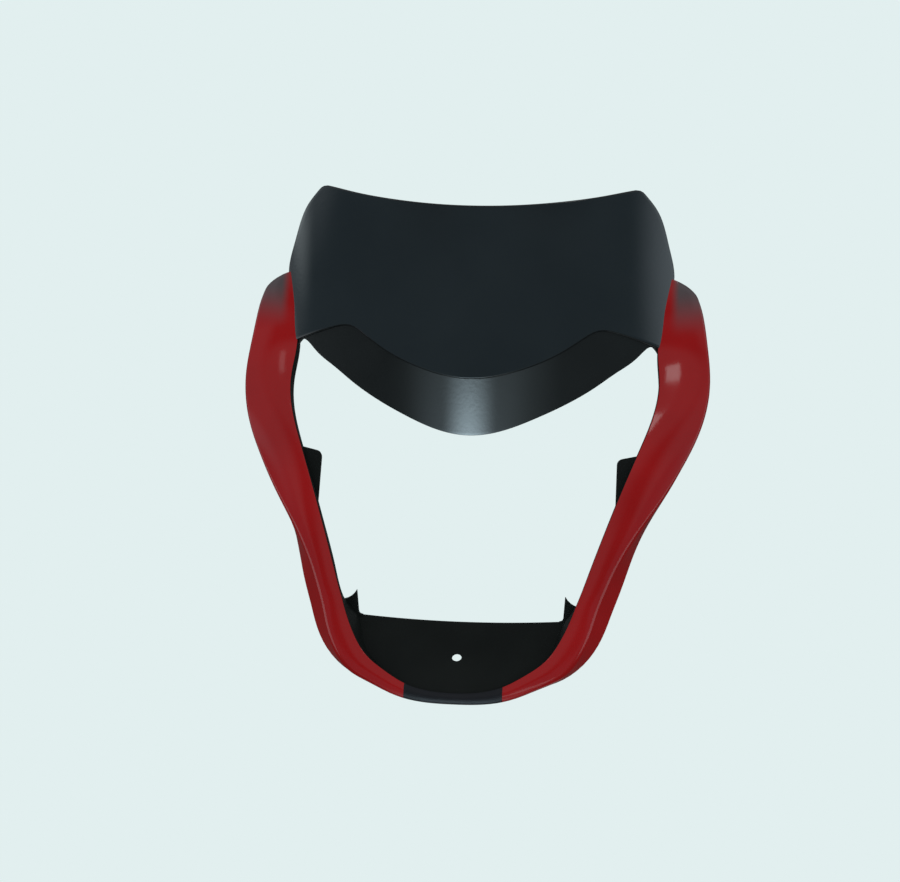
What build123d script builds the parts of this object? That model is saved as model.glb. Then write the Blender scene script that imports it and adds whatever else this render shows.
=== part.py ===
"""Motorbike headlight cowl: one moulded shell, open in the middle for the headlamp.

Millimetres. +Z is up, -Y is the front and X runs across the bike. The origin is the
centre of the screw hole in the chin tray, on the tray's upper face.
"""
import os
from math import asin, cos, degrees, radians, sin, sqrt, tan
from typing import NamedTuple

from build123d import *

# Moulding
wall = 2.5
edge_radius = 1.0

# Rim plane: the arms and the chin lie along it, leaning back from the vertical
rim_tilt = 32.6
face_crown = 1.6
outer_crease_radius = 3.0

# Chin tray, which slopes up to the rear from just under the chin lip
tray_slope = 36.0
tray_setback = 28.5
tray_drop = 2.2
tray_rear_hollow = 3.5
screw_hole_diameter = 6.5

# Visor: a slice of a cylinder that leans back. Rises are heights above the chin lip
visor_radius = 223.0
visor_rake = 21.8
visor_front = 103.0
visor_top_rise = 301.5
visor_corner_half = 114.0
visor_corner_rise = 310.0
visor_corner_radius = 9.0
visor_brow_half = 126.0
visor_brow_rise = 294.5
visor_side_half = 135.3
visor_side_rise = 268.0
visor_tuck = 2.8
rim_sink = 0.6

# Crease under the visor, from its middle to its peaks, which are over the lamp's corners
crease_rise = 188.0
crease_sweep = [(37.5, 6.5), (61.0, 15.5), (78.0, 25.0)]
crease_peak_half = 87.0
crease_peak_rise = 217.0
crease_tail = (100.0, 215.0)
crease_step = 1.4

# Beak: the V-shaped strip under the crease
beak_rake = 8.0
beak_sweep_angle = 25.0
beak_nose_radius = 150.0
beak_tip_rise = 148.6
beak_sweep = [(16.0, 1.0), (47.0, 10.5), (85.5, 29.0), (115.5, 48.0)]
beak_lap = 4.0
notch_radius = 4.0

# Lugs behind the arms, one each side, placed in the rim plane
lug_inner_half = 103.0
lug_width = 25.0
lug_low = 130.0
lug_high = 166.0
lug_top_climb = 6.0
lug_level = 10.0
lug_corner_radius = 5.0
lug_hole_diameter = 6.0
lug_hole_margin = 6.0

# Horns at the rear corners of the tray
horn_height = 18.0
horn_base = 9.0
horn_hollow = 2.2


class Station(NamedTuple):
    """One cross-section of the right-hand half of the rim.

    across and along place the inner edge in the rim plane. turn is the direction of the
    face, in degrees from +X. face, drop, flare and flank size the front face and the side
    wall behind it. flange and lean size the inner return.
    """

    across: float
    along: float
    level: float
    turn: float
    face: float
    drop: float
    flare: float
    flank: float
    flange: float
    lean: float


# From the middle of the chin to the neck of the arm, then to the cheek and the shoulder
chin_middle = Station(0, 1.5, 0, -90, 11.5, 0.5, -9, 15, 6, 0)
chin_end = Station(34, 4.0, 0, -68, 10.5, 0.5, -7, 15, 8, 0)
jaw_front = Station(47, 11.5, 0, -47, 13, 0.5, -4, 14, 11, 1.5)
jaw = Station(60.5, 22, 0, -36, 16.5, 0.5, -1, 14, 15, 3)
jaw_rear = Station(68.7, 34, 0, -20, 16.5, 0.5, 5, 13, 21, 5)
tray_end = Station(77.3, 54, 0, -5, 14.5, 1, 9.5, 13, 27, 7)
lower_arm = Station(81.4, 66, 0, -6, 14.3, 1, 9.5, 13, 14, 0.5)
middle_arm = Station(87, 83, 0, -10, 15, 2, 8.5, 13, 12, 0)
neck = Station(98.3, 117, 0.5, -11, 21.5, 6, 1, 18, 12, 0)
upper_arm = Station(107, 142, 1.5, -11, 27.5, 10, -3, 24, 12, 0)
cheek_low = Station(116.5, 168, 4, -7, 32, 12, -4, 31, 12, 0)
cheek = Station(126.5, 198, 9, -2, 35, 12, -6, 34, 12, 0)
cheek_high = Station(130, 224, 15, 5, 36.5, 10, -7, 34, 12, 0)
notch = Station(128.3, 250, 0, 9, 35.5, 8, -7, 32, 11, 0)
shoulder_low = Station(132, 278, 0, 5, 25.5, 6.5, -5, 26, 9, 0)
shoulder = Station(136.5, 302, 0, -13, 15, 4, -3, 18, 7, 0)
right_rim = [chin_end, jaw_front, jaw, jaw_rear, tray_end, lower_arm, middle_arm, neck,
             upper_arm, cheek_low, cheek, cheek_high, notch, shoulder_low, shoulder]

# Frames that the dimensions above place
chin_y = -tray_setback * cos(radians(tray_slope))
chin_z = tray_drop - tray_setback * sin(radians(tray_slope))
tray_plane = Plane((0, 0, 0), x_dir=(1, 0, 0),
                   z_dir=(0, -sin(radians(tray_slope)), cos(radians(tray_slope))))
rim_plane = Plane((0, chin_y, chin_z), x_dir=(1, 0, 0),
                  z_dir=(0, -cos(radians(rim_tilt)), sin(radians(rim_tilt))))


def sag(x):
    """How far the visor's plan curve has fallen back at x."""
    return visor_radius - sqrt(visor_radius ** 2 - x ** 2)


def visor_y(x, z):
    """The visor's front face at x and z."""
    rise = z - chin_z - crease_rise
    return chin_y + visor_front + rise * tan(radians(visor_rake)) + sag(x)


def on_visor(station):
    """The station with its inner edge sunk a little into the visor's front face."""
    near = rim_plane.from_local_coords((station.across, station.along, 0))
    gap = visor_y(near.X, near.Z) - near.Y
    rate = cos(radians(rim_tilt)) + tan(radians(visor_rake)) * sin(radians(rim_tilt))
    return station._replace(level=gap / rate + rim_sink)


def section_plane(station):
    """The plane of a cross-section: local x runs along the face, local y to the rear."""
    turn = radians(station.turn)
    edge = Vector(station.across, station.along, -station.level)
    face_end = edge + Vector(cos(turn), sin(turn), 0)
    origin = rim_plane.from_local_coords(edge)
    x_dir = rim_plane.from_local_coords(face_end) - origin
    return Plane(origin, x_dir=x_dir, z_dir=x_dir.cross(-rim_plane.z_dir))


def inset_corner(before, corner, after):
    """The corner of the inner face, one wall in from the outer corner."""
    first = (corner - before).normalized()
    second = (after - corner).normalized()
    first_in = Vector(-first.Y, first.X)
    second_in = Vector(-second.Y, second.X)
    middle = (first_in + second_in).normalized()
    return corner + middle * (wall / middle.dot(first_in))


def inset_end(end, other, turn):
    """The inner end of a return, square to its outer end."""
    way = (other - end).normalized()
    return end + Vector(-way.Y, way.X) * (wall * turn)


def rim_section(station):
    """The channel section: return flange, crowned face and side wall."""
    flange_end = Vector(-station.lean, station.flange)
    inner = Vector(0, 0)
    outer = Vector(station.face, station.drop)
    rear = Vector(station.face + station.flare, station.drop + station.flank)
    inner_back = inset_corner(flange_end, inner, outer)
    outer_back = inset_corner(inner, outer, rear)
    flange_back = inset_end(flange_end, inner, 1)
    rear_back = inset_end(rear, outer, -1)
    bulge = (outer - inner).normalized()
    crown = Vector(bulge.Y, -bulge.X) * face_crown
    with BuildSketch(section_plane(station)) as section:
        with BuildLine():
            Line(flange_end, inner)
            ThreePointArc(inner, (inner + outer) * 0.5 + crown, outer)
            Line(outer, rear)
            Line(rear, rear_back)
            Line(rear_back, outer_back)
            ThreePointArc(outer_back, (inner_back + outer_back) * 0.5 + crown, inner_back)
            Line(inner_back, flange_back)
            Line(flange_back, flange_end)
        make_face()
    return section.sketch


def mirrored(station):
    """The same station on the left."""
    return station._replace(across=-station.across, turn=180 - station.turn)


# Rim: the chin, arms, cheeks and shoulders as one swept channel
notch = on_visor(notch)
shoulder_low = on_visor(shoulder_low)
shoulder = on_visor(shoulder)
right_rim[-3:] = [notch, shoulder_low, shoulder]
left_rim = [mirrored(station) for station in reversed(right_rim)]
with BuildPart() as rim:
    loft([rim_section(station) for station in left_rim + [chin_middle] + right_rim])
    chin_plane = section_plane(chin_middle)
    lip_top = rim.edges().sort_by_distance(chin_plane.origin)[0]
    chin_corner = chin_plane.from_local_coords((chin_middle.face, chin_middle.drop, 0))
    lip_low = rim.edges().sort_by_distance(chin_corner)[0]
    fillet([lip_top], edge_radius)
    fillet([lip_low], outer_crease_radius)

# Points of the inner edge that the visor and the beak run out to
notch_edge = section_plane(notch).origin
valley_edge = section_plane(shoulder_low).origin
shoulder_edge = section_plane(shoulder).origin
outline_depth = 2 * visor_radius


def front_points(half):
    """Front-view points, left to right, from half widths and heights above the chin lip."""
    right = [(x, chin_z + rise) for x, rise in half]
    return [(-x, z) for x, z in reversed(right) if x > 0] + right


def crease_line(lift):
    """Half of the crease between the visor and the beak, raised by the lift."""
    middle = [(0, crease_rise + lift)]
    sweep = [(x, crease_rise + rise + lift) for x, rise in crease_sweep]
    peak = (crease_peak_half, crease_peak_rise + lift)
    end = (notch_edge.X + visor_tuck, notch_edge.Z - chin_z + lift)
    tail = (crease_tail[0], crease_tail[1] + lift)
    return middle + sweep + [peak, tail, end]


# Visor: cut to its outline from the leaning skin, and tucked into the arms at its sides
visor_lean = radians(visor_rake)
visor_reach = degrees(asin((visor_side_half + visor_corner_radius) / visor_radius))
visor_low = crease_rise - visor_tuck
visor_centre = (0, visor_y(0, chin_z + visor_low) + visor_radius)
with BuildPart() as visor:
    with BuildSketch(Plane.XY.offset(chin_z + visor_low)):
        with BuildLine():
            skin = CenterArc(visor_centre, visor_radius, 270 - visor_reach, 2 * visor_reach)
            skin_back = CenterArc(visor_centre, visor_radius - wall / cos(visor_lean),
                                  270 - visor_reach, 2 * visor_reach)
            Line(skin @ 0, skin_back @ 0)
            Line(skin @ 1, skin_back @ 1)
        make_face()
    skin_length = (visor_corner_rise + visor_tuck - visor_low) / cos(visor_lean)
    extrude(amount=skin_length, dir=(0, sin(visor_lean), cos(visor_lean)))
    with BuildSketch(Plane.XZ) as visor_outline:
        with BuildLine():
            crease = Spline(*front_points(crease_line(0)))
            side = [
                (shoulder_edge.X + visor_tuck, shoulder_edge.Z),
                (visor_side_half, chin_z + visor_side_rise),
                (visor_brow_half, chin_z + visor_brow_rise),
                (visor_corner_half, chin_z + visor_corner_rise),
            ]
            right_side = Spline(*side)
            left_side = Spline(*[(-x, z) for x, z in side])
            Polyline(crease @ 1, (valley_edge.X + visor_tuck, valley_edge.Z), right_side @ 0)
            Polyline(crease @ 0, (-valley_edge.X - visor_tuck, valley_edge.Z), left_side @ 0)
            ThreePointArc(right_side @ 1, (0, chin_z + visor_top_rise), left_side @ 1)
        make_face()
        fillet(visor_outline.vertices().group_by(Axis.Y)[-1], visor_corner_radius)
    extrude(amount=outline_depth, both=True, mode=Mode.INTERSECT)
    visor_face = visor.faces().sort_by_distance((0, chin_y, chin_z + visor_top_rise))[0]
    visor_high = chin_z + visor_corner_rise
    free_edges = visor_face.edges().filter_by_position(Axis.Z, shoulder_edge.Z, visor_high)
    fillet(free_edges, edge_radius)

# Beak: a prow that hangs more upright than the visor, set back from it by the step and
# lapped behind it
beak_lean = radians(beak_rake)
beak_sweepback = radians(beak_sweep_angle)
prow_plane = Plane((0, chin_y + visor_front + crease_step, chin_z + crease_rise),
                   x_dir=(1, 0, 0), z_dir=(0, sin(beak_lean), cos(beak_lean)))
prow_apex = beak_nose_radius - beak_nose_radius / cos(beak_sweepback)
prow_half = visor_side_half
prow_end = prow_apex + prow_half * tan(beak_sweepback)
prow_line = [(-prow_half, prow_end), (0, prow_apex), (prow_half, prow_end)]
prow_depth = wall / cos(beak_sweepback)
prow_reach = crease_rise - beak_tip_rise + visor_tuck
beak_line = [(0, beak_tip_rise)]
beak_line += [(x, beak_tip_rise + rise) for x, rise in beak_sweep]
beak_line += [(notch_edge.X - notch_radius, notch_edge.Z - chin_z + notch_radius / 2)]
beak_line += [(notch_edge.X + wall / 2, notch_edge.Z - chin_z - notch_radius)]
with BuildPart() as beak:
    with BuildSketch(prow_plane):
        with BuildLine():
            prow = FilletPolyline(*prow_line, radius=beak_nose_radius)
            prow_back = FilletPolyline(*[(x, y + prow_depth) for x, y in prow_line],
                                       radius=beak_nose_radius)
            Line(prow @ 0, prow_back @ 0)
            Line(prow @ 1, prow_back @ 1)
        make_face()
    extrude(amount=prow_reach, both=True)
    with BuildSketch(Plane.XZ):
        with BuildLine():
            lap = Spline(*front_points(crease_line(beak_lap)))
            lower = Spline(*front_points(beak_line))
            Line(lap @ 1, lower @ 1)
            Line(lap @ 0, lower @ 0)
        make_face()
    extrude(amount=outline_depth, both=True, mode=Mode.INTERSECT)
    beak_edge = beak.edges().sort_by_distance((0, chin_y, chin_z + beak_tip_rise))[0]
    fillet([beak_edge], edge_radius)


def tray_edge(station):
    """Where the middle of a return flange meets the tray's upper face, in the tray plane."""
    plane = section_plane(station)
    root = plane.from_local_coords((wall / 2, 0, 0))
    end = plane.from_local_coords((wall / 2 - station.lean, station.flange, 0))
    top = tray_plane.to_local_coords(root)
    low = tray_plane.to_local_coords(end)
    return top + (low - top) * (top.Z / (top.Z - low.Z))


# Tray: a sloping panel between the return flanges, with the screw hole at the origin
tray_stations = [chin_middle, chin_end, jaw_front, jaw, jaw_rear, tray_end]
tray_half = [(edge.X, edge.Y) for edge in map(tray_edge, tray_stations)]
with BuildPart() as tray:
    with BuildSketch(tray_plane):
        with BuildLine():
            front = Spline(*[(-x, y) for x, y in reversed(tray_half[1:])], *tray_half)
            SagittaArc(front @ 0, front @ 1, -tray_rear_hollow)
        make_face()
        Circle(screw_hole_diameter / 2, mode=Mode.SUBTRACT)
    extrude(amount=-wall)

# Horns: upright gussets with a hollow outer edge, at the rear corners of the tray
tray_corner = tray_plane.from_local_coords(tray_edge(tray_end))
with BuildPart() as horns:
    with BuildSketch(Plane.XZ.offset(-tray_corner.Y)):
        with BuildLine():
            foot = (tray_corner.X - wall, tray_corner.Z - wall)
            tip = (tray_corner.X - wall / 2, tray_corner.Z + horn_height)
            heel = (tray_corner.X + horn_base, tray_corner.Z + horn_height / 3)
            Line(foot, tip)
            SagittaArc(tip, heel, horn_hollow)
            Polyline(heel, (tray_corner.X + wall, tray_corner.Z - wall), foot)
        make_face()
    extrude(amount=wall)
    mirror(about=Plane.YZ)

# Lugs: plates across the return flanges, each with a screw hole behind the arm's face
arm_slant = (cheek_low.across - upper_arm.across) / (cheek_low.along - upper_arm.along)
lug_outer_low = lug_inner_half + lug_width / 2
lug_outer_high = lug_outer_low + (lug_high - lug_low) * arm_slant
lug_hole_across = (lug_outer_low + lug_outer_high) / 2 - lug_hole_margin
lug_hole_along = (lug_low + lug_high) / 2
with BuildPart() as lugs:
    with BuildSketch(rim_plane.offset(-lug_level)) as lug_outline:
        with BuildLine():
            Polyline((lug_inner_half, lug_low), (lug_inner_half, lug_high),
                     (lug_outer_high, lug_high + lug_top_climb), (lug_outer_low, lug_low), close=True)
        make_face()
        inner_top = lug_outline.vertices().group_by(Axis.X)[0].sort_by(Axis.Y)[-1:]
        fillet(inner_top, lug_corner_radius)
        with Locations((lug_hole_across, lug_hole_along)):
            Circle(lug_hole_diameter / 2, mode=Mode.SUBTRACT)
    extrude(amount=-wall)
    mirror(about=Plane.YZ)

# Caps: close the channel at the top of each shoulder
with BuildPart() as caps:
    with BuildSketch(section_plane(shoulder).offset(-rim_sink)):
        with BuildLine():
            Polyline((wall / 2 - shoulder.lean, shoulder.flange - wall / 2),
                     (wall / 2, wall / 2),
                     (shoulder.face - wall, shoulder.drop),
                     (shoulder.face + shoulder.flare - wall / 2,
                      shoulder.drop + shoulder.flank - wall / 2), close=True)
        make_face()
    extrude(amount=-wall)
    mirror(about=Plane.YZ)

# The whole moulding is one piece
with BuildPart() as headlight_cowl:
    add(rim.part)
    add(visor.part)
    add(beak.part)
    add(tray.part)
    add(horns.part)
    add(lugs.part)
    add(caps.part)
headlight_cowl.part.label = "headlight_cowl"
os.makedirs("parts", exist_ok=True)
export_step(headlight_cowl.part, "parts/headlight_cowl.step")
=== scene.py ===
import math
from collections import namedtuple

import bmesh
import bpy
import numpy as np
from mathutils import Matrix, Quaternion, Vector


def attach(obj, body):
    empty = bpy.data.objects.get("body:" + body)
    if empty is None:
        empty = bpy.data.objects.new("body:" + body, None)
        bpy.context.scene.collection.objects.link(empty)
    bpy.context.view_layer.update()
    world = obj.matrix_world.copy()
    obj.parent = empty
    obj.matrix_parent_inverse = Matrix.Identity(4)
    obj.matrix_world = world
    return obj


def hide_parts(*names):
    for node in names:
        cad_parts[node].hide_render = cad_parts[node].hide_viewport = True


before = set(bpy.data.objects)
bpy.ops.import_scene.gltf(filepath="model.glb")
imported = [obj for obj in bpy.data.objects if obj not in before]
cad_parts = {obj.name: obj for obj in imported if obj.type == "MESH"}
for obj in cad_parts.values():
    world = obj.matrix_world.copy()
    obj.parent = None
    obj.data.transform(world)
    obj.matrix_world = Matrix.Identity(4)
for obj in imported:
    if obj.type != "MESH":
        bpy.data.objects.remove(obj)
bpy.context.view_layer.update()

# Shapes are laid out in millimetres, as the solids are, and scaled when they are made
MM = 0.001
WALL = 2.5
SIDE = Vector((1, 0, 0))
WELD = 1e-6
SHARP_ANGLE = 50

# Rim plane: the chin, arms and shoulders lie along it, leaning back from the vertical
CHIN = Vector((0, -23.057, -14.552))
RIM_TILT = math.radians(32.6)
RIM_FRONT = Vector((0, -math.cos(RIM_TILT), math.sin(RIM_TILT)))
RIM_UP = Vector((0, math.sin(RIM_TILT), math.cos(RIM_TILT)))

# Rim section: a crowned face, a rounded lip inside, a rounded crease outside, round wall ends
FACE_CROWN = 1.6
FACE_STEPS = 8
LIP_RADIUS = 1.0
LIP_STEPS = 4
LIP_BARE = 3
CREASE_STEPS = 8
END_RADIUS = 0.8
END_STEPS = 2
BOW_SLOPE = 4

# Visor: a slice of a cylinder. Rises are heights above the chin lip
VISOR_RADIUS = 223.0
VISOR_SLOPE = math.tan(math.radians(21.8))
VISOR_FRONT = 103.0
VISOR_TUCK = 2.8
RIM_SINK = 0.6
CREASE_RISE = 188.0

# Finishes on the cowl, in the order of its material slots
RED, BLACK, BARE, SATIN = range(4)

# Right-hand half of the rim, from the chin up. Face, drop, flare and flank shape the front
# and the outer side wall; flange and lean are the inner flange's; crease is a radius
RimRow = namedtuple("RimRow", "across along level turn face drop flare flank flange lean crease")
CHIN_MIDDLE = RimRow(0, -2.0, 0, -90, 8.0, 0.5, -9, 15, 6, 0, 1.6)
TRAY_END = RimRow(77.3, 54, 0, -5, 14.5, 1, 9.5, 13, 27, 7, 7)
JAW_AND_ARM = [
    RimRow(34, 4.0, 0, -68, 10.5, 0.5, -7, 15, 8, 0, 2.0),
    RimRow(47, 11.5, 0, -47, 13, 0.5, -4, 14, 11, 1.5, 3.2),
    RimRow(60.5, 22, 0, -36, 16.5, 0.5, -1, 14, 15, 3, 5),
    RimRow(68.7, 34, 0, -20, 16.5, 0.5, 5, 13, 21, 5, 6.5),
    TRAY_END,
    RimRow(79.3, 60, 0, -5.4, 14.4, 1, 9.5, 13, 16, 1.6, 7),
    RimRow(81.4, 66, 0, -6, 14.3, 1, 9.5, 13, 11.5, 0, 7),
    RimRow(87, 83, 0, -10, 15, 2, 8.5, 13, 12, 0, 7),
    RimRow(98.3, 117, 0.5, -11, 21.5, 6, 1, 18, 12, 0, 5.5),
    RimRow(107, 142, 1.5, -11, 27.5, 10, -3, 24, 12, 0, 4),
    RimRow(116.5, 168, 4, -7, 32, 12, -4, 31, 12, 0, 3),
    RimRow(126.5, 198, 9, -2, 35, 12, -6, 34, 12, 0, 3),
    RimRow(130, 224, 15, 5, 36.5, 10, -7, 34, 12, 0, 3),
]
SHOULDER = [
    RimRow(128.3, 250, 0, 9, 36.5, 8, -7, 32, 11, 0, 3),
    RimRow(132, 278, 0, 5, 28, 6.5, -5, 26, 9, 0, 3),
    RimRow(136.5, 302, 0, -13, 17, 4, -3, 18, 7, 0, 3),
]
SHOULDER_ROUND = 10.0


def visor_y(x, rise):
    """The visor's front face at x and a height above the chin lip."""
    sag = VISOR_RADIUS - math.sqrt(VISOR_RADIUS ** 2 - x ** 2)
    return CHIN.y + VISOR_FRONT + (rise - CREASE_RISE) * VISOR_SLOPE + sag


def rim_point(across, along, level):
    """A point of the rim plane, or behind it by the level."""
    return CHIN + SIDE * across + RIM_UP * along - RIM_FRONT * level


def on_visor(row):
    """A shoulder row with its inner edge sunk into the visor's front face."""
    near = rim_point(row.across, row.along, 0)
    gap = visor_y(near.x, near.z - CHIN.z) - near.y
    rate = math.cos(RIM_TILT) + VISOR_SLOPE * math.sin(RIM_TILT)
    return row._replace(level=gap / rate + RIM_SINK)


def mirrored(row):
    """The same row on the left."""
    return row._replace(across=-row.across, turn=-180 - row.turn)


def smooth_line(knots):
    """A smooth curve through the knots, as a function of 0 to 1 along their spacing."""
    knots = np.array(knots, float)
    gaps = np.linalg.norm(np.diff(knots[:, :2], axis=0), axis=1)
    count = len(knots)
    system = np.zeros((count, count))
    target = np.zeros_like(knots)
    rates = np.diff(knots, axis=0) / gaps[:, None]
    system[0, :2] = 2, 1
    system[-1, -2:] = 1, 2
    target[0] = 3 * rates[0]
    target[-1] = 3 * rates[-1]
    for i in range(1, count - 1):
        before, after = gaps[i - 1], gaps[i]
        system[i, i - 1:i + 2] = 1 / before, 2 / before + 2 / after, 1 / after
        target[i] = 3 * (rates[i - 1] / before + rates[i] / after)
    slopes = np.linalg.solve(system, target)
    starts = np.concatenate(([0], np.cumsum(gaps)))

    def at(t):
        place = min(max(t, 0), 1) * starts[-1]
        i = min(int(np.searchsorted(starts, place, side="right")) - 1, count - 2)
        gap = gaps[i]
        s = (place - starts[i]) / gap
        ease = s * s * (3 - 2 * s)
        lean_out = s * (1 - s) ** 2 * gap
        lean_in = s * s * (s - 1) * gap
        return (knots[i] * (1 - ease) + knots[i + 1] * ease
                + slopes[i] * lean_out + slopes[i + 1] * lean_in)

    return at


def bow(t):
    """A bow that rises from 0 to 1 halfway along and falls back to 0."""
    return 4 * t * (1 - t)


def round_corner(before, corner, after, radius, steps):
    """Points of a rounded corner between two sides."""
    incoming = (corner - before).normalized()
    outgoing = (after - corner).normalized()
    reach = radius * math.tan(incoming.angle(outgoing) / 2)
    start = corner - incoming * reach
    end = corner + outgoing * reach
    points = []
    for i in range(steps + 1):
        t = i / steps
        points.append(start * (1 - t) ** 2 + corner * (2 * t * (1 - t)) + end * t ** 2)
    return points


def inset_corner(before, corner, after):
    """The corner of the inner wall face, one wall in from the outer corner."""
    first = (corner - before).normalized()
    second = (after - corner).normalized()
    first_in = Vector((-first.y, first.x))
    middle = (first_in + Vector((-second.y, second.x))).normalized()
    return corner + middle * (WALL / middle.dot(first_in))


def inset_end(end, other, turn):
    """The inner end of a wall, square to its outer end."""
    way = (other - end).normalized()
    return end + Vector((-way.y, way.x)) * (WALL * turn)


def rim_section(row):
    """The channel section of a row as a closed outline, with the run that is painted."""
    flange_end = Vector((-row.lean, row.flange))
    inner = Vector((0, 0))
    outer = Vector((row.face, row.drop))
    rear = Vector((row.face + row.flare, row.drop + row.flank))
    inner_back = inset_corner(flange_end, inner, outer)
    outer_back = inset_corner(inner, outer, rear)
    flange_back = inset_end(flange_end, inner, 1)
    rear_back = inset_end(rear, outer, -1)
    chord = outer - inner
    crown = Vector((chord.y, -chord.x)).normalized() * FACE_CROWN
    back_chord = outer_back - inner_back

    def on_face(t):
        return inner + chord * t + crown * bow(t)

    def on_back(t):
        return inner_back + back_chord * t + crown * bow(t)

    def wall_end(before, end, after):
        return round_corner(before, end, after, END_RADIUS, END_STEPS)

    after_lip = inner + chord + crown * BOW_SLOPE
    before_crease = outer - chord + crown * BOW_SLOPE
    lip = round_corner(flange_end, inner, after_lip, LIP_RADIUS, LIP_STEPS)
    crease = round_corner(before_crease, outer, rear, row.crease, CREASE_STEPS)
    face_start = lip[-1].length / chord.length
    face_end = 1 - (outer - crease[0]).length / chord.length
    outline = wall_end(flange_back, flange_end, inner)
    paint_start = len(outline) + LIP_BARE
    outline += lip
    for i in range(1, FACE_STEPS):
        outline.append(on_face(face_start + (face_end - face_start) * i / FACE_STEPS))
    outline += crease
    outline += wall_end(outer, rear, rear_back)
    paint_end = len(outline)
    outline += wall_end(rear, rear_back, outer_back)
    outline += [on_back(t) for t in (1, 0.75, 0.5, 0.25, 0)]
    outline += wall_end(inner_back, flange_back, flange_end)
    return outline, paint_start, paint_end


def section_point(row, s, d):
    """A point of a row's section: s along the face, d to the rear."""
    turn = math.radians(row.turn)
    face_way = SIDE * math.cos(turn) + RIM_UP * math.sin(turn)
    return rim_point(*row[:3]) + face_way * s - RIM_FRONT * d


def laid_grid(mesh, columns, rows, place):
    """A grid of faces whose corners are set by place(column, row), in millimetres."""
    grid = bmesh.ops.create_grid(mesh, x_segments=columns, y_segments=rows, size=1)
    for vert in grid["verts"]:
        column = round((vert.co.x + 1) / 2 * columns)
        row = round((vert.co.y + 1) / 2 * rows)
        vert.co = place(column, row) * MM


def round_edges(mesh, width, steps):
    """Rounds the edges where two faces meet sharply."""
    edges = [edge for edge in mesh.edges if len(edge.link_faces) == 2
             and edge.calc_face_angle() > math.radians(SHARP_ANGLE)]
    bmesh.ops.bevel(mesh, geom=edges, offset=width * MM, offset_type="OFFSET", segments=steps,
                    profile=0.5, affect="EDGES", clamp_overlap=True, material=-1)


def piece(name, mesh, keep_angle):
    """A finished piece of the cowl, with its four finishes, riding on the part."""
    for face in mesh.faces:
        face.smooth = True
    data = bpy.data.meshes.new(name)
    mesh.to_mesh(data)
    mesh.free()
    data.set_sharp_from_angle(angle=math.radians(keep_angle))
    for paint in (red_paint, black_paint, bare_plastic, satin_black):
        data.materials.append(paint)
    made = bpy.data.objects.new(name, data)
    bpy.context.scene.collection.objects.link(made)
    even = made.modifiers.new("even_shading", "WEIGHTED_NORMAL")
    even.keep_sharp = True
    even.weight = 100
    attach(made, "root")
    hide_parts("headlight_cowl")


def plastic(name):
    """A new plastic finish: the material, its node tree and its shader."""
    material = bpy.data.materials.new(name)
    material.use_nodes = True
    tree = material.node_tree
    return material, tree, tree.nodes["Principled BSDF"]


def grain(tree, scale, detail):
    """A noise over the piece, with its scale in lumps per metre."""
    coordinates = tree.nodes.new("ShaderNodeTexCoord")
    noise = tree.nodes.new("ShaderNodeTexNoise")
    noise.inputs["Scale"].default_value = scale
    noise.inputs["Detail"].default_value = detail
    tree.links.new(coordinates.outputs["Object"], noise.inputs["Vector"])
    return noise.outputs["Fac"]


def tone(tree, shader, scale, dark, light):
    """Lets the colour drift between two tones."""
    ramp = tree.nodes.new("ShaderNodeValToRGB")
    ramp.color_ramp.elements[0].position = 0.35
    ramp.color_ramp.elements[0].color = (*dark, 1)
    ramp.color_ramp.elements[1].position = 0.65
    ramp.color_ramp.elements[1].color = (*light, 1)
    tree.links.new(grain(tree, scale, detail=3), ramp.inputs["Fac"])
    tree.links.new(ramp.outputs["Color"], shader.inputs["Base Color"])


def soft_step(tree, place, start, end):
    """A soft step from 0 to 1 between two places."""
    spread = tree.nodes.new("ShaderNodeMapRange")
    spread.interpolation_type = "SMOOTHSTEP"
    spread.inputs["From Min"].default_value = start
    spread.inputs["From Max"].default_value = end
    tree.links.new(place, spread.inputs["Value"])
    return spread.outputs["Result"]


def painted_reflection(tree, shader, heights, sides, colour):
    """Paints reflection and shade into the colour: turns it into another one high up and far
    from the middle, in metres.
    """
    plain = shader.inputs["Base Color"].links[0].from_socket
    coordinates = tree.nodes.new("ShaderNodeTexCoord")
    axes = tree.nodes.new("ShaderNodeSeparateXYZ")
    outward = tree.nodes.new("ShaderNodeMath")
    outward.operation = "ABSOLUTE"
    both = tree.nodes.new("ShaderNodeMath")
    both.operation = "MULTIPLY"
    mix = tree.nodes.new("ShaderNodeMix")
    mix.data_type = "RGBA"
    mix.inputs[7].default_value = (*colour, 1)
    tree.links.new(coordinates.outputs["Object"], axes.inputs["Vector"])
    tree.links.new(axes.outputs["X"], outward.inputs[0])
    tree.links.new(soft_step(tree, axes.outputs["Z"], *heights), both.inputs[0])
    tree.links.new(soft_step(tree, outward.outputs["Value"], *sides), both.inputs[1])
    tree.links.new(both.outputs["Value"], mix.inputs["Factor"])
    tree.links.new(plain, mix.inputs[6])
    tree.links.new(mix.outputs[2], shader.inputs["Base Color"])


def handling(tree, shader, scale, glossy, dull):
    """Faint smears that vary the gloss."""
    spread = tree.nodes.new("ShaderNodeMapRange")
    spread.inputs["From Min"].default_value = 0.3
    spread.inputs["From Max"].default_value = 0.7
    spread.inputs["To Min"].default_value = glossy
    spread.inputs["To Max"].default_value = dull
    tree.links.new(grain(tree, scale, detail=4), spread.inputs["Value"])
    tree.links.new(spread.outputs["Result"], shader.inputs["Roughness"])


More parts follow.
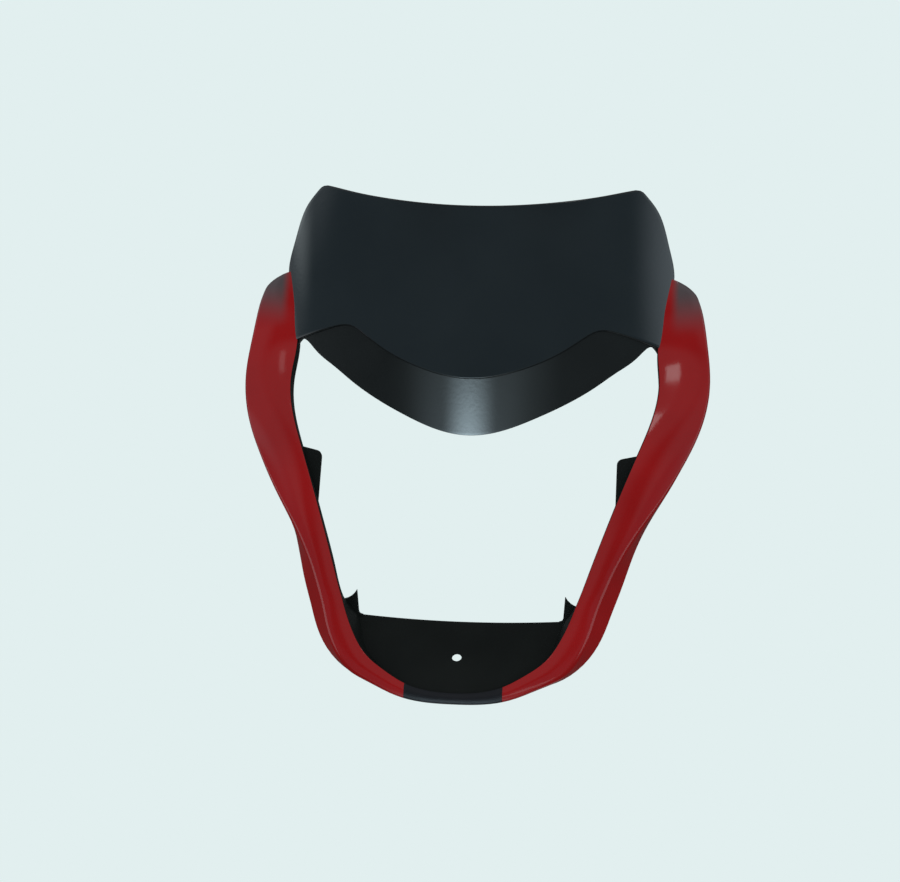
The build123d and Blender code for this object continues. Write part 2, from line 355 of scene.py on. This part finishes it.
def texture(tree, shader, scale, detail, strength, height, coated=False):
    """A fine raised texture of the given height, in metres, on the lacquer too if coated."""
    bump = tree.nodes.new("ShaderNodeBump")
    bump.inputs["Strength"].default_value = strength
    bump.inputs["Distance"].default_value = height
    tree.links.new(grain(tree, scale, detail), bump.inputs["Height"])
    tree.links.new(bump.outputs["Normal"], shader.inputs["Normal"])
    if coated:
        tree.links.new(bump.outputs["Normal"], shader.inputs["Coat Normal"])


# Red paint under clear lacquer, with a faint orange peel, and a painted dim grey reflection and
# shade at the tops of the shoulders
red_paint, red_tree, red_shader = plastic("red_paint")
tone(red_tree, red_shader, scale=14, dark=(0.205, 0.0055, 0.0062), light=(0.240, 0.0070, 0.0078))
# The dark grey high on the shoulders is painted reflection and shade, not a colour of the paint
painted_reflection(red_tree, red_shader, heights=(0.192, 0.226), sides=(0.1355, 0.1435),
     colour=(0.062, 0.052, 0.056))
handling(red_tree, red_shader, scale=30, glossy=0.30, dull=0.38)
texture(red_tree, red_shader, scale=420, detail=2, strength=0.03, height=0.0003, coated=True)
red_shader.inputs["Specular IOR Level"].default_value = 0
red_shader.inputs["Coat Weight"].default_value = 0.55
red_shader.inputs["Coat Roughness"].default_value = 0.09

# Gloss black paint on the visor and the beak
black_paint, black_tree, black_shader = plastic("black_paint")
tone(black_tree, black_shader, scale=14,
     dark=(0.0045, 0.0062, 0.0070), light=(0.0065, 0.0088, 0.0098))
handling(black_tree, black_shader, scale=24, glossy=0.08, dull=0.11)
texture(black_tree, black_shader, scale=380, detail=2, strength=0.03, height=0.0003)

# Satin black on the middle of the chin lip
satin_black, satin_tree, satin_shader = plastic("satin_black")
tone(satin_tree, satin_shader, scale=14,
     dark=(0.0058, 0.0070, 0.0095), light=(0.0080, 0.0094, 0.0122))
handling(satin_tree, satin_shader, scale=24, glossy=0.34, dull=0.40)
texture(satin_tree, satin_shader, scale=600, detail=2, strength=0.05, height=0.0002)
satin_shader.inputs["Specular IOR Level"].default_value = 0.16

# Bare moulded plastic with a fine spark-eroded grain
bare_plastic, bare_tree, bare_shader = plastic("bare_black_plastic")
tone(bare_tree, bare_shader, scale=18,
     dark=(0.0040, 0.0055, 0.0052), light=(0.0062, 0.0080, 0.0076))
handling(bare_tree, bare_shader, scale=40, glossy=0.60, dull=0.72)
texture(bare_tree, bare_shader, scale=1600, detail=3, strength=0.25, height=0.0002)
bare_shader.inputs["Specular IOR Level"].default_value = 0.08

# Rim: one swept channel from shoulder to shoulder, round the chin
RIM_STEPS = 180
ROUND_STEPS = 6
LIP_BLACK_HALF = 33.0
CHIN_TOP = 20.0
shoulder_rows = [on_visor(row) for row in SHOULDER]
right_rows = JAW_AND_ARM + shoulder_rows
rim_rows = [mirrored(row) for row in reversed(right_rows)] + [CHIN_MIDDLE] + right_rows
rim_line = smooth_line(rim_rows)
rim_length = sum(math.dist(a[:2], b[:2]) for a, b in zip(rim_rows, rim_rows[1:]))
round_share = SHOULDER_ROUND / rim_length
round_places = []
for i in range(ROUND_STEPS):
    round_places.append(round_share * (1 - math.cos(math.pi / 2 * i / ROUND_STEPS)))
rim_places = list(round_places)
for i in range(RIM_STEPS + 1):
    rim_places.append(round_share + (1 - 2 * round_share) * i / RIM_STEPS)
rim_places += [1 - place for place in reversed(round_places)]


def rounded_row(t):
    """A row of the rim, narrowed near the top of each shoulder so that it ends round."""
    row = RimRow(*rim_line(t))
    left = SHOULDER_ROUND - min(t, 1 - t) * rim_length
    if left <= 0:
        return row
    pull = SHOULDER_ROUND - math.sqrt(max(SHOULDER_ROUND ** 2 - left ** 2, 0))
    return row._replace(face=row.face - pull)


swept_rows = [rounded_row(t) for t in rim_places]
outlines = [rim_section(row)[0] for row in swept_rows]
_, paint_start, paint_end = rim_section(CHIN_MIDDLE)
outline_count = len(outlines[0])


def on_rim(column, row):
    """A corner of the rim: a point of one outline, on the row that it belongs to."""
    point = outlines[row][column % outline_count]
    return section_point(swept_rows[row], point.x, point.y)


rim = bmesh.new()
laid_grid(rim, outline_count, len(swept_rows) - 1, on_rim)
rim.faces.ensure_lookup_table()
for number, face in enumerate(rim.faces):
    column = number % outline_count
    face.material_index = RED if paint_start <= column < paint_end else BARE
bmesh.ops.remove_doubles(rim, verts=rim.verts, dist=WELD)
ends = [edge for edge in rim.edges if edge.is_boundary]
bmesh.ops.edgeloop_fill(rim, edges=ends, mat_nr=RED)
bmesh.ops.recalc_face_normals(rim, faces=rim.faces)
for half in (-LIP_BLACK_HALF, LIP_BLACK_HALF):
    chin_faces = [face for face in rim.faces if face.calc_center_median().z < CHIN_TOP * MM]
    chin_edges = dict.fromkeys(edge for face in chin_faces for edge in face.edges)
    chin_verts = dict.fromkeys(vert for face in chin_faces for vert in face.verts)
    bmesh.ops.bisect_plane(rim, geom=[*chin_faces, *chin_edges, *chin_verts],
                           plane_co=(half * MM, 0, 0), plane_no=SIDE)
for face in rim.faces:
    if abs(face.calc_center_median().x) < LIP_BLACK_HALF * MM and face.material_index == RED:
        face.material_index = SATIN
piece("rim", rim, keep_angle=40)

# Visor: its outline is the crease, the tucked sides, the free sides and the hollow top
CREASE_HALF = [(37.5, 194.5), (61.0, 203.5), (78.0, 213.0), (87.0, 217.0), (100.0, 215.0)]
VISOR_TOP = 301.5
VISOR_CORNER = Vector((114.0, 310.0))
VISOR_BROW = Vector((126.0, 294.5))
VISOR_WIDEST = (135.3, 268.0)
TOP_HOLLOW = VISOR_CORNER.y - VISOR_TOP
CORNER_RADIUS = 9.0
CORNER_STEPS = 8
VISOR_COLUMNS = 72
VISOR_ROWS = 48
PANEL_EDGE = 0.9
PANEL_EDGE_STEPS = 3
REAR_FACING = 0.35
notch_edge, valley_edge, shoulder_edge = [rim_point(*row[:3]) for row in shoulder_rows]
notch_rise = notch_edge.z - CHIN.z


def both_sides(middle, half):
    """Points from left to right, from the middle one and those of the right half."""
    return [(-x, z) for x, z in reversed(half)] + [middle] + list(half)


crease_end = (notch_edge.x + VISOR_TUCK, notch_rise)
crease_line = smooth_line(both_sides((0, CREASE_RISE), CREASE_HALF + [crease_end]))
top_way = Vector((-1, -2 * TOP_HOLLOW / VISOR_CORNER.x))
corner = [tuple(point) for point in round_corner(
    VISOR_BROW, VISOR_CORNER, VISOR_CORNER + top_way, CORNER_RADIUS, CORNER_STEPS)]
side_line = smooth_line([
    crease_end,
    (valley_edge.x + VISOR_TUCK, valley_edge.z - CHIN.z),
    (shoulder_edge.x + VISOR_TUCK, shoulder_edge.z - CHIN.z),
    VISOR_WIDEST,
    tuple(VISOR_BROW),
    corner[0],
    corner[2],
    corner[4],
])
top_half = []
for x in (30.0, 60.0, 90.0):
    top_half.append((x, VISOR_TOP + TOP_HOLLOW * (x / VISOR_CORNER.x) ** 2))
top_half += [corner[8], corner[6], corner[4]]
top_line = smooth_line(both_sides((0, VISOR_TOP), top_half))


def patch_point(low, high, side, p, q):
    """A point of a symmetrical panel between its low, high and right-hand lines."""
    right = Vector(side(q))
    left = Vector((-right.x, right.y))
    first, last = Vector(low(0)), Vector(low(1))
    top_first, top_last = Vector(high(0)), Vector(high(1))
    ruled_up = Vector(low(p)) * (1 - q) + Vector(high(p)) * q
    ruled_across = left * (1 - p) + right * p
    corners = ((first * (1 - p) + last * p) * (1 - q)
               + (top_first * (1 - p) + top_last * p) * q)
    return ruled_up + ruled_across - corners


def on_visor_front(column, row):
    """A corner of the visor's grid, on its front face."""
    p, q = column / VISOR_COLUMNS, row / VISOR_ROWS
    flat = patch_point(crease_line, top_line, side_line, p, q)
    return Vector((flat.x, visor_y(flat.x, flat.y), CHIN.z + flat.y))


def panel(name, columns, rows, place):
    """A moulded panel: painted in front, bare behind, with rounded edges."""
    mesh = bmesh.new()
    laid_grid(mesh, columns, rows, place)
    bmesh.ops.recalc_face_normals(mesh, faces=mesh.faces)
    middle = min(mesh.faces, key=lambda face: face.calc_center_median().x ** 2)
    if middle.normal.y > 0:
        bmesh.ops.reverse_faces(mesh, faces=mesh.faces)
    bmesh.ops.solidify(mesh, geom=mesh.faces[:], thickness=WALL * MM)
    round_edges(mesh, PANEL_EDGE, PANEL_EDGE_STEPS)
    for face in mesh.faces:
        face.material_index = BARE if face.normal.y > REAR_FACING else BLACK
    piece(name, mesh, keep_angle=45)


panel("visor", VISOR_COLUMNS, VISOR_ROWS, on_visor_front)

# Beak: a prow that hangs more upright than the visor, from its lap behind it to the wide V
BEAK_LEAN = math.radians(8.0)
BEAK_SWEEPBACK = math.radians(25.0)
BEAK_NOSE = 150.0
BEAK_STEP = 1.4
BEAK_LAP = 4.0
BEAK_TIP = 148.6
BEAK_HALF = [(16.0, 150.2), (47.0, 160.1), (85.5, 177.6), (101.0, 187.3), (115.5, 197.0)]
NOTCH_RADIUS = 4.0
BEAK_COLUMNS = 96
BEAK_ROWS = 20
notch_line = [(notch_edge.x - NOTCH_RADIUS, notch_rise + NOTCH_RADIUS / 2),
              (notch_edge.x + WALL / 2, notch_rise - NOTCH_RADIUS)]
beak_line = smooth_line(both_sides((0, BEAK_TIP), BEAK_HALF + notch_line))
lap_half = [(x, rise + BEAK_LAP) for x, rise in CREASE_HALF + [crease_end]]
lap_line = smooth_line(both_sides((0, CREASE_RISE + BEAK_LAP), lap_half))
beak_side = smooth_line([notch_line[-1], lap_half[-1]])


def prow_point(x, rise):
    """The beak's front face at x and a height above the chin lip."""
    if abs(x) < BEAK_NOSE * math.sin(BEAK_SWEEPBACK):
        sweep = BEAK_NOSE - math.sqrt(BEAK_NOSE ** 2 - x ** 2)
    else:
        flat_start = BEAK_NOSE - BEAK_NOSE / math.cos(BEAK_SWEEPBACK)
        sweep = flat_start + abs(x) * math.tan(BEAK_SWEEPBACK)
    climb = (rise - CREASE_RISE + sweep * math.sin(BEAK_LEAN)) / math.cos(BEAK_LEAN)
    set_back = sweep * math.cos(BEAK_LEAN) + climb * math.sin(BEAK_LEAN)
    return Vector((x, CHIN.y + VISOR_FRONT + BEAK_STEP + set_back, CHIN.z + rise))


def on_beak_front(column, row):
    """A corner of the beak's grid, on its front face."""
    p, q = column / BEAK_COLUMNS, row / BEAK_ROWS
    flat = patch_point(beak_line, lap_line, beak_side, p, q)
    return prow_point(flat.x, flat.y)


panel("beak", BEAK_COLUMNS, BEAK_ROWS, on_beak_front)

# Plates: the tray, its horns, the lugs and the shoulder caps
HOLE_STEPS = 40
PLATE_EDGE = 0.5
PLATE_EDGE_STEPS = 2


def flat_plate(mesh, origin, x_way, y_way, outline, hole=None):
    """A flat wall behind its outline, which may have a round hole (x, y, diameter)."""
    up = x_way.cross(y_way)
    turned = Matrix((x_way, y_way, up)).transposed()
    corners = [mesh.verts.new((origin + x_way * x + y_way * y) * MM) for x, y in outline]
    loop = [mesh.edges.new((corners[i - 1], corners[i])) for i in range(len(corners))]
    if hole:
        centre = (origin + x_way * hole[0] + y_way * hole[1]) * MM
        ring = bmesh.ops.create_circle(mesh, segments=HOLE_STEPS, radius=hole[2] / 2 * MM,
                                       matrix=Matrix.Translation(centre) @ turned.to_4x4())
        loop += dict.fromkeys(edge for vert in ring["verts"] for edge in vert.link_edges)
    filled = bmesh.ops.triangle_fill(mesh, edges=loop, use_beauty=True, normal=up)
    faces = [made for made in filled["geom"] if isinstance(made, bmesh.types.BMFace)]
    if faces[0].normal.dot(up) < 0:
        bmesh.ops.reverse_faces(mesh, faces=faces)
    bmesh.ops.solidify(mesh, geom=faces, thickness=WALL * MM)


def plate_piece(name, mesh, colour, on_both_sides):
    """Rounds a plate's edges, and mirrors it where it is one of a pair."""
    bmesh.ops.remove_doubles(mesh, verts=mesh.verts, dist=WELD)
    round_edges(mesh, PLATE_EDGE, PLATE_EDGE_STEPS)
    if on_both_sides:
        everything = mesh.verts[:] + mesh.edges[:] + mesh.faces[:]
        bmesh.ops.mirror(mesh, geom=everything, matrix=Matrix.Identity(4),
                         merge_dist=-1, axis="X")
        bmesh.ops.recalc_face_normals(mesh, faces=mesh.faces)
    for face in mesh.faces:
        face.material_index = colour
    piece(name, mesh, keep_angle=30)


# Chin tray: it closes the chin, with a hollow rear edge and a screw hole at the origin
TRAY_SLOPE = math.radians(36.0)
TRAY_UP = Vector((0, -math.sin(TRAY_SLOPE), math.cos(TRAY_SLOPE)))
TRAY_BACK = Vector((0, math.cos(TRAY_SLOPE), math.sin(TRAY_SLOPE)))
TRAY_HOLLOW = 3.5
TRAY_STEPS = 64
SCREW_HOLE = (0, 0, 6.5)


def tray_edge(row):
    """Where the middle of the inner flange meets the tray's upper face."""
    root = section_point(row, WALL / 2, 0)
    end = section_point(row, WALL / 2 - row.lean, row.flange)
    top, low = root.dot(TRAY_UP), end.dot(TRAY_UP)
    return root.lerp(end, top / (top - low))


tray_rows = [CHIN_MIDDLE] + JAW_AND_ARM[:JAW_AND_ARM.index(TRAY_END) + 1]
tray_half = [(edge.x, edge.dot(TRAY_BACK)) for edge in map(tray_edge, tray_rows)]
tray_front = smooth_line(both_sides(tray_half[0], tray_half[1:]))
tray_outline = [tuple(tray_front(i / TRAY_STEPS)) for i in range(TRAY_STEPS + 1)]
tray_reach, tray_back = tray_half[-1]
for i in range(1, TRAY_STEPS):
    share = 1 - 2 * i / TRAY_STEPS
    tray_outline.append((tray_reach * share, tray_back - TRAY_HOLLOW * (1 - share ** 2)))
tray = bmesh.new()
flat_plate(tray, Vector((0, 0, 0)), SIDE, TRAY_BACK, tray_outline, SCREW_HOLE)
plate_piece("tray", tray, BARE, on_both_sides=False)

# Horns at the rear corners of the tray, hollow outside
HORN_HEIGHT = 18.0
HORN_BASE = 11.0
HORN_HEEL = 10.4
HORN_HOLLOW = 2.2
HORN_FOOT = 3.0
HORN_FOOT_STEPS = 5
tip = Vector((-WALL / 2, HORN_HEIGHT))
heel = Vector((HORN_BASE, HORN_HEEL))
foot = Vector((-WALL, 0))
inward = Vector((heel.y - tip.y, tip.x - heel.x)).normalized()
horn_outline = [(WALL, -WALL), tuple(heel)]
for t in (0.8, 0.6, 0.4, 0.2):
    horn_outline.append(tuple(tip.lerp(heel, t) + inward * (HORN_HOLLOW * bow(t))))
horn_outline.append(tuple(tip))
for point in round_corner(tip, foot, foot - SIDE.xy, HORN_FOOT, HORN_FOOT_STEPS):
    horn_outline.append(tuple(point))
horn_outline.append((-WALL - HORN_FOOT, -WALL))
horns = bmesh.new()
horn_place = tray_edge(TRAY_END) - Vector((0, WALL, 0))
flat_plate(horns, horn_place, SIDE, Vector((0, 0, 1)), horn_outline)
plate_piece("tray_horns", horns, BARE, on_both_sides=True)

# Lugs behind the arms, one each side, with a screw hole
LUG_LEVEL = 10.0
LUG_INNER = Vector((103.0, 130.0))
LUG_INNER_TOP = Vector((103.0, 166.0))
LUG_OUTER_TOP = Vector((128.654, 172.0))
LUG_OUTER = (115.5, 130.0)
LUG_CORNER = 5.0
LUG_CORNER_STEPS = 8
LUG_HOLE = (116.077, 148.0, 6.0)
lug_outline = [LUG_OUTER, tuple(LUG_OUTER_TOP)]
for point in round_corner(LUG_OUTER_TOP, LUG_INNER_TOP, LUG_INNER, LUG_CORNER, LUG_CORNER_STEPS):
    lug_outline.append(tuple(point))
lug_outline.append(tuple(LUG_INNER))
lugs = bmesh.new()
flat_plate(lugs, rim_point(0, 0, LUG_LEVEL), SIDE, RIM_UP, lug_outline, LUG_HOLE)
plate_piece("lugs", lugs, BARE, on_both_sides=True)

# Caps that close the channel at the top of each shoulder
CAP_TUCK = 0.7 * SHOULDER_ROUND
top_row = shoulder_rows[-1]
cap_face = top_row.face - CAP_TUCK
cap_turn = math.radians(top_row.turn)
cap_x = SIDE * math.cos(cap_turn) + RIM_UP * math.sin(cap_turn)
cap_up = RIM_UP * math.cos(cap_turn) - SIDE * math.sin(cap_turn)
cap_outline = [
    (WALL / 2 - top_row.lean, top_row.flange - WALL / 2),
    (WALL / 2, WALL / 2),
    (cap_face - WALL, top_row.drop),
    (cap_face + top_row.flare - WALL / 2, top_row.drop + top_row.flank - WALL / 2),
]
caps = bmesh.new()
flat_plate(caps, rim_point(*top_row[:3]) - cap_up * RIM_SINK, cap_x, -RIM_FRONT, cap_outline)
plate_piece("shoulder_caps", caps, RED, on_both_sides=True)

# Camera at the photograph's viewing angle
AZIMUTH = 6.3
ELEVATION = 15.5
DISTANCE = 1.35
LENS = 78.26
SENSOR = 36
AIM = Vector((-0.01194, 0.06694, 0.1322))


def direction(azimuth, elevation):
    """The way from the cowl to a stand, by its angles in degrees from straight ahead."""
    a, e = math.radians(azimuth), math.radians(elevation)
    return Vector((math.sin(a) * math.cos(e), -math.cos(a) * math.cos(e), math.sin(e)))


view_way = direction(AZIMUTH, ELEVATION)
camera_data = bpy.data.cameras.new("camera")
camera_data.lens = LENS
camera_data.sensor_width = SENSOR
camera = bpy.data.objects.new("camera", camera_data)
camera.location = AIM + view_way * DISTANCE
camera.rotation_euler = view_way.to_track_quat("Z", "Y").to_euler()
bpy.context.scene.collection.objects.link(camera)
bpy.context.scene.camera = camera

# Studio: a pale mint backdrop, and soft light that falls mostly from the front
MINT = (0.7605, 0.8633, 0.8633, 1)
FRONT_LIGHT = (1.20, 1.20, 1.20, 1)
BACK_LIGHT = (0.40, 0.40, 0.40, 1)
LOW_LIGHT = (0.30, 0.30, 0.30, 1)
LIGHT_TURN = (-0.7, 0.8)
LIGHT_FOOT = (-0.6, 0.2)

# The paint mirrors a dim room instead. Each part of it has a colour, and edges between which
# it fades in, as directions from -1 to 1. In front is a forecourt with a bright strip
FORECOURT = (0.60, 0.75, 0.80, 1)
GROUND = (0.11, 0.13, 0.13, 1)
UNDER = (0.05, 0.06, 0.06, 1)
GROUND_SIDES = (0.2, 0.85)
GROUND_FOOT = (-0.3, -0.17)
FRONT_STRIP = (9.0, 11.6, 12.9, 1)
STRIP_HALO = (1.5, 1.9, 2.1, 1)
STRIP_MIDDLE = -0.09
STRIP_SIDES = (0.0, 0.27)
HALO_SIDES = (0.0, 0.62)
STRIP_TOP = (-0.02, 0.06)
SIDE_GLOW = (1.7, 1.8, 1.9, 1)
GLOW_SIDES = (0.86, 0.92)
GLOW_FOOT = (-0.18, -0.08)

# Walls with windows, whose sills slope down away from the middle
ROOM = (0.19, 0.28, 0.34, 1)
WALL_FOOT = (0.12, 0.26)
WINDOW_DIP = 1.1
HIGH_WINDOW = (0.95, 1.1, 1.2, 1)
HIGH_WINDOW_SIDES = (0.72, 0.95)
HIGH_WINDOW_SILL = (1.315, 1.365)
RIGHT_WINDOW = (1.6, 1.9, 2.1, 1)
RIGHT_WINDOW_SIDE = (0.76, 1.0)
RIGHT_WINDOW_SILL = (1.25, 1.31)
LEFT_WINDOW = (4.6, 5.2, 5.4, 1)
LEFT_WINDOW_SIDE = (-0.925, -1.0)
LEFT_WINDOW_SILL = (1.297, 1.326)

# A dark cornice, a grey ceiling, and a dim rear that ends at the backdrop
CORNICE = (0.04, 0.04, 0.04, 1)
CORNICE_DIP = 0.15
CORNICE_FOOT = (0.58, 0.64)
HIGH_GLOW = (0.45, 0.50, 0.54, 1)
HIGH_GLOW_SIDES = (0.56, 0.70)
CEILING = (0.42, 0.44, 0.46, 1)
CEILING_EDGE = (0.66, 0.78)
REAR = (0.10, 0.11, 0.11, 1)
REAR_EDGE = (0.1, 0.3)
BACKDROP_EDGE = (0.62, 0.95)
BACKDROP_FOOT = (-0.15, 0.05)

world = bpy.data.worlds.new("studio")
bpy.context.scene.world = world
world.use_nodes = True
studio = world.node_tree
rays = studio.nodes.new("ShaderNodeLightPath")
directions = studio.nodes.new("ShaderNodeTexCoord")
axes = studio.nodes.new("ShaderNodeSeparateXYZ")
studio.links.new(directions.outputs["Generated"], axes.inputs["Vector"])
sideways, depth, height = axes.outputs["X"], axes.outputs["Y"], axes.outputs["Z"]


def off_centre(middle):
    """How far a direction lies to either side of a middle one."""
    shift = studio.nodes.new("ShaderNodeMath")
    shift.operation = "SUBTRACT"
    shift.inputs[1].default_value = middle
    size = studio.nodes.new("ShaderNodeMath")
    size.operation = "ABSOLUTE"
    studio.links.new(sideways, shift.inputs[0])
    studio.links.new(shift.outputs["Value"], size.inputs[0])
    return size.outputs["Value"]


def dipping(place, dip):
    """A height that dips away from the middle of the studio."""
    sloped = studio.nodes.new("ShaderNodeMath")
    sloped.operation = "MULTIPLY_ADD"
    sloped.inputs[1].default_value = dip
    studio.links.new(place, sloped.inputs[0])
    studio.links.new(height, sloped.inputs[2])
    return sloped.outputs["Value"]


def fill(socket, colour):
    """Gives a socket a colour, or links it to another colour socket."""
    if isinstance(colour, tuple):
        socket.default_value = colour
    else:
        studio.links.new(colour, socket)


def blend(place, edge, first, second):
    """A colour that turns from the first to the second across an edge in the studio."""
    colours = studio.nodes.new("ShaderNodeMix")
    colours.data_type = "RGBA"
    studio.links.new(soft_step(studio, place, *edge), colours.inputs["Factor"])
    fill(colours.inputs[6], first)
    fill(colours.inputs[7], second)
    return colours.outputs[2]


def lit(colour):
    """A background of the given colour, or of a colour socket."""
    background = studio.nodes.new("ShaderNodeBackground")
    fill(background.inputs["Color"], colour)
    return background.outputs["Background"]


def either(tree, factor, first, second):
    """The first shader, or the second one where the factor is 1."""
    mix = tree.nodes.new("ShaderNodeMixShader")
    tree.links.new(factor, mix.inputs["Fac"])
    tree.links.new(first, mix.inputs[1])
    tree.links.new(second, mix.inputs[2])
    return mix.outputs["Shader"]


def add(tree, first, second):
    """The sum of two values, at most 1."""
    total = tree.nodes.new("ShaderNodeMath")
    total.operation = "ADD"
    total.use_clamp = True
    tree.links.new(first, total.inputs[0])
    tree.links.new(second, total.inputs[1])
    return total.outputs["Value"]


across = off_centre(0)
yard = blend(across, GROUND_SIDES, FORECOURT, GROUND)
halo = blend(off_centre(STRIP_MIDDLE), HALO_SIDES, STRIP_HALO, yard)
strip = blend(off_centre(STRIP_MIDDLE), STRIP_SIDES, FRONT_STRIP, halo)
ground = blend(height, STRIP_TOP, strip, yard)
glowing = blend(across, GLOW_SIDES, ground, SIDE_GLOW)
ground = blend(height, GLOW_FOOT, ground, glowing)
ground = blend(height, GROUND_FOOT, UNDER, ground)
level = dipping(across, WINDOW_DIP)
high_window = blend(across, HIGH_WINDOW_SIDES, ROOM, HIGH_WINDOW)
sides = blend(level, HIGH_WINDOW_SILL, ROOM, high_window)
right_window = blend(sideways, RIGHT_WINDOW_SIDE, sides, RIGHT_WINDOW)
sides = blend(level, RIGHT_WINDOW_SILL, sides, right_window)
left_window = blend(sideways, LEFT_WINDOW_SIDE, sides, LEFT_WINDOW)
sides = blend(level, LEFT_WINDOW_SILL, sides, left_window)
wall = blend(height, WALL_FOOT, ground, sides)
cornice = blend(across, HIGH_GLOW_SIDES, CORNICE, HIGH_GLOW)
front = blend(dipping(across, CORNICE_DIP), CORNICE_FOOT, wall, cornice)
front = blend(height, CEILING_EDGE, front, CEILING)
room = blend(depth, REAR_EDGE, front, REAR)
backdrop = blend(height, BACKDROP_FOOT, UNDER, MINT)
surroundings = lit(blend(depth, BACKDROP_EDGE, room, backdrop))
around = blend(depth, LIGHT_TURN, FRONT_LIGHT, BACK_LIGHT)
soft_light = lit(blend(height, LIGHT_FOOT, LOW_LIGHT, around))
mirrored_rays = add(studio, rays.outputs["Is Glossy Ray"], rays.outputs["Is Transmission Ray"])
unseen = either(studio, mirrored_rays, soft_light, surroundings)
seen = either(studio, rays.outputs["Is Camera Ray"], unseen, lit(MINT))
studio.links.new(seen, studio.nodes["World Output"].inputs["Surface"])

# Floor: well below the chin, pale mint, with a share of the cowl's soft shadow that fades
# into the backdrop's own colour
FLOOR_Z = -0.33
FLOOR_HALF = 0.25
SHADOW_SHARE = 0.15
SHADOW_NEAR = 0.34
SHADOW_FAR = 0.41
floor_paint, floor_tree, floor_shader = plastic("pale_floor")
floor_shader.inputs["Base Color"].default_value = MINT
floor_shader.inputs["Roughness"].default_value = 0.9
floor_shader.inputs["Specular IOR Level"].default_value = 0
floor_glow = floor_tree.nodes.new("ShaderNodeEmission")
floor_glow.inputs["Color"].default_value = MINT
floor_place = floor_tree.nodes.new("ShaderNodeTexCoord")
floor_reach = floor_tree.nodes.new("ShaderNodeVectorMath")
floor_reach.operation = "LENGTH"
shadow = floor_tree.nodes.new("ShaderNodeMapRange")
shadow.interpolation_type = "SMOOTHSTEP"
shadow.inputs["From Min"].default_value = SHADOW_NEAR
shadow.inputs["From Max"].default_value = SHADOW_FAR
shadow.inputs["To Min"].default_value = SHADOW_SHARE
shadow.inputs["To Max"].default_value = 0
floor_tree.links.new(floor_place.outputs["Object"], floor_reach.inputs[0])
floor_tree.links.new(floor_reach.outputs["Value"], shadow.inputs["Value"])
floor_rays = floor_tree.nodes.new("ShaderNodeLightPath").outputs
floor_mirrored = add(floor_tree, floor_rays["Is Glossy Ray"], floor_rays["Is Transmission Ray"])
floor_viewed = add(floor_tree, floor_rays["Is Camera Ray"], floor_mirrored)
lit_floor = floor_shader.outputs["BSDF"]
shaded_floor = either(floor_tree, shadow.outputs["Result"],
                      floor_glow.outputs["Emission"], lit_floor)
floor_tree.links.new(either(floor_tree, floor_viewed, lit_floor, shaded_floor),
                     floor_tree.nodes["Material Output"].inputs["Surface"])
floor_mesh = bmesh.new()
bmesh.ops.create_grid(floor_mesh, x_segments=1, y_segments=1, size=FLOOR_HALF,
                      matrix=Matrix.Translation((0, 0, FLOOR_Z)))
floor_data = bpy.data.meshes.new("floor")
floor_mesh.to_mesh(floor_data)
floor_mesh.free()
floor_data.materials.append(floor_paint)
floor = bpy.data.objects.new("floor", floor_data)
bpy.context.scene.collection.objects.link(floor)


# Lamps: a soft key from the front, and a small window on either side
def softbox(name, azimuth, elevation, roll, distance, size, power):
    """A soft rectangular lamp that faces the middle of the cowl."""
    way = direction(azimuth, elevation)
    lamp = bpy.data.lights.new(name, "AREA")
    lamp.shape = "RECTANGLE"
    lamp.size, lamp.size_y = size
    lamp.energy = power
    stand = bpy.data.objects.new(name, lamp)
    stand.location = AIM + way * distance
    rolled = Quaternion((0, 0, 1), math.radians(roll))
    stand.rotation_euler = (way.to_track_quat("Z", "Y") @ rolled).to_euler()
    bpy.context.scene.collection.objects.link(stand)


softbox("key_softbox", azimuth=6, elevation=14, roll=0, distance=1.8,
        size=(0.50, 0.25), power=0.6)
softbox("right_window", azimuth=46, elevation=61, roll=-52, distance=2.0,
        size=(0.34, 0.27), power=1.3)
softbox("left_window", azimuth=-57, elevation=55, roll=52, distance=2.0,
        size=(0.14, 0.36), power=0.22)

bpy.context.scene.view_settings.view_transform = "Standard"
